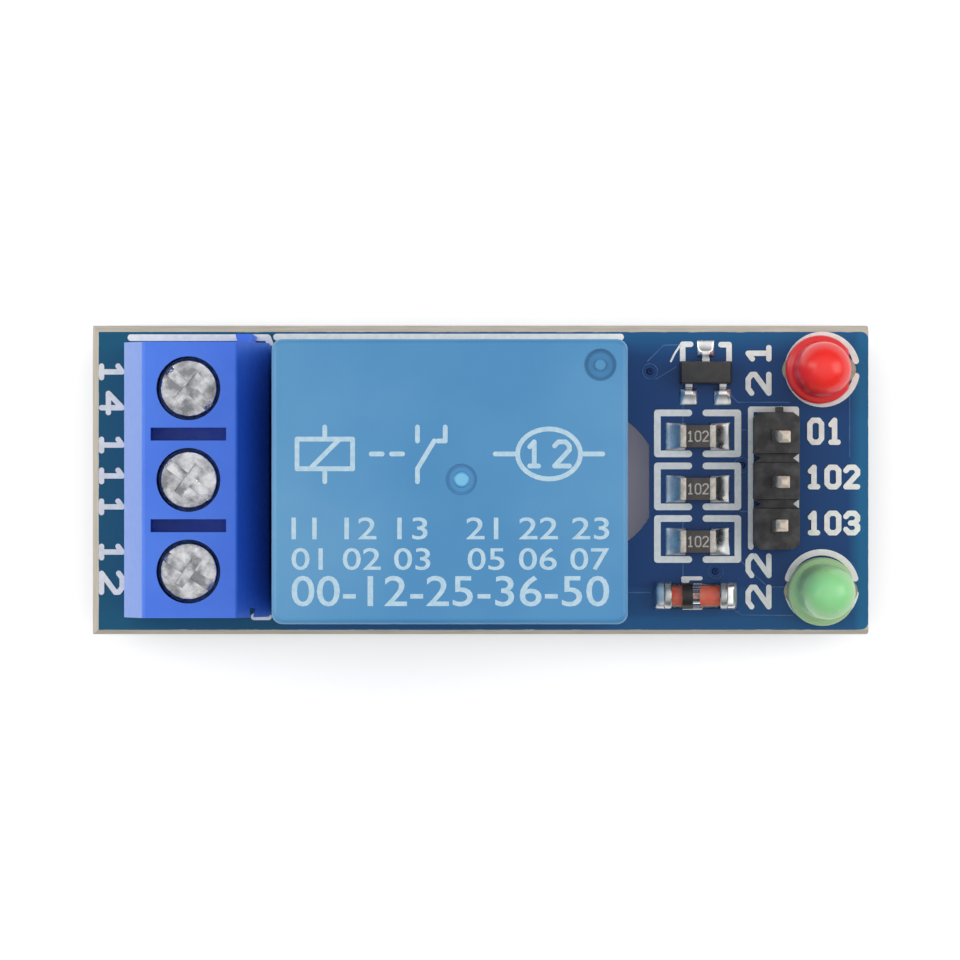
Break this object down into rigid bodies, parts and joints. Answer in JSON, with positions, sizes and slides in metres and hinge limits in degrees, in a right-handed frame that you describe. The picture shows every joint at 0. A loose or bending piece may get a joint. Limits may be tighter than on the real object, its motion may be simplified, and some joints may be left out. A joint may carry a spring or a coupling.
{
  "type": "relay module board",
  "caption": "Small circuit board with a sealed changeover relay, a screw terminal block for the switched wires, a pin header for control, and two indicator lamps.",
  "frame": {"origin": "middle of the box in plan, at the tips of the longest pin tails, which stand on a table", "axes": "+X along the board from the terminal block to the header and lamps, +Y across the board (up in the picture), +Z out of the component side"},
  "size_m": [0.0432, 0.0172, 0.019],
  "materials": {
    "board_laminate": "blue solder mask on glass-fibre laminate",
    "relay_blue": "satin moulded",
    "relay_base_plastic": "moulded",
    "bobbin_plastic": "moulded",
    "copper_winding": "enamelled copper wire",
    "soft_iron": "plated",
    "contact_bronze": "rolled",
    "contact_silver": "silver faced",
    "terminal_blue": "satin moulded",
    "tinned_metal": "tin plated",
    "screw_steel": "zinc plated",
    "header_black": "moulded",
    "pin_gold": "gold flash",
    "lens_red": "diffused epoxy",
    "lens_green": "diffused epoxy",
    "epoxy_black": "moulded",
    "chip_ceramic": "fired, dark glaze on top",
    "diode_glass": "clear",
    "slug_copper": "oxidised",
    "silicon": "polished",
    "solder": "solidified"
  },
  "bodies": {
    "module": {"circuit_board": "board_laminate", "relay_case": "relay_blue", "relay_base": "relay_base_plastic", "relay_bobbin": "bobbin_plastic", "relay_coil": "copper_winding", "relay_core": "soft_iron", "relay_yoke": "soft_iron", "relay_open_contact": "tinned_metal", "relay_closed_contact": "tinned_metal", "relay_common_terminal": "tinned_metal", "relay_coil_pins": "tinned_metal", "terminal_housing": "terminal_blue", "header_housing": "header_black", "transistor_body": "epoxy_black", "transistor_leads": "tinned_metal", "diode_glass": "diode_glass", "diode_end_caps": "tinned_metal", "diode_slugs": "slug_copper", "diode_chip": "silicon", "relay_solder": "solder", "terminal_solder": "solder", "header_solder": "solder", "lamp_solder": "solder", "resistor_solder": "solder", "transistor_solder": "solder", "diode_solder": "solder", "terminal_contact_1": "tinned_metal", "header_pin_1": "pin_gold", "resistor_1_chip": "chip_ceramic", "resistor_1_caps": "tinned_metal", "terminal_contact_2": "tinned_metal", "header_pin_2": "pin_gold", "resistor_2_chip": "chip_ceramic", "resistor_2_caps": "tinned_metal", "terminal_contact_3": "tinned_metal", "header_pin_3": "pin_gold", "resistor_3_chip": "chip_ceramic", "resistor_3_caps": "tinned_metal", "power_led_lens": "lens_red", "power_led_anode": "tinned_metal", "power_led_cathode": "tinned_metal", "signal_led_lens": "lens_green", "signal_led_anode": "tinned_metal", "signal_led_cathode": "tinned_metal"},
    "armature": {"relay_armature": "soft_iron", "relay_contact_spring": "contact_bronze", "relay_moving_contact": "contact_silver"},
    "clamp_1": {"terminal_clamp_1": "tinned_metal"},
    "screw_1": {"terminal_screw_1": "screw_steel"},
    "clamp_2": {"terminal_clamp_2": "tinned_metal"},
    "screw_2": {"terminal_screw_2": "screw_steel"},
    "clamp_3": {"terminal_clamp_3": "tinned_metal"},
    "screw_3": {"terminal_screw_3": "screw_steel"}
  },
  "joints": [
    {"name": "armature_swing", "type": "hinge", "parent": "module", "child": "armature", "pos_m": [0.0046, -0.00009, 0.0144], "axis": [0, -1, 0], "range_deg": [0, 1.9], "stiffness_Nm_per_rad": 0.001, "springref_deg": -17.19},
    {"name": "clamp_drop_1", "type": "slide", "parent": "module", "child": "clamp_1", "axis": [0, 0, -1], "range_m": [0, 0.0018]},
    {"name": "screw_turn_1", "type": "hinge", "parent": "clamp_1", "child": "screw_1", "pos_m": [-0.01594, 0.005, 0.0133], "axis": [0, 0, -1], "range_deg": [0, 1440]},
    {"name": "clamp_drop_2", "type": "slide", "parent": "module", "child": "clamp_2", "axis": [0, 0, -1], "range_m": [0, 0.0018]},
    {"name": "screw_turn_2", "type": "hinge", "parent": "clamp_2", "child": "screw_2", "pos_m": [-0.01594, 0, 0.0133], "axis": [0, 0, -1], "range_deg": [0, 1440]},
    {"name": "clamp_drop_3", "type": "slide", "parent": "module", "child": "clamp_3", "axis": [0, 0, -1], "range_m": [0, 0.0018]},
    {"name": "screw_turn_3", "type": "hinge", "parent": "clamp_3", "child": "screw_3", "pos_m": [-0.01594, -0.005, 0.0133], "axis": [0, 0, -1], "range_deg": [0, 1440]}
  ],
  "couplings": [
    {"joint": "screw_turn_1", "follows": "clamp_drop_1", "rad_per_m": 13963},
    {"joint": "screw_turn_2", "follows": "clamp_drop_2", "rad_per_m": 13963},
    {"joint": "screw_turn_3", "follows": "clamp_drop_3", "rad_per_m": 13963}
  ]
}
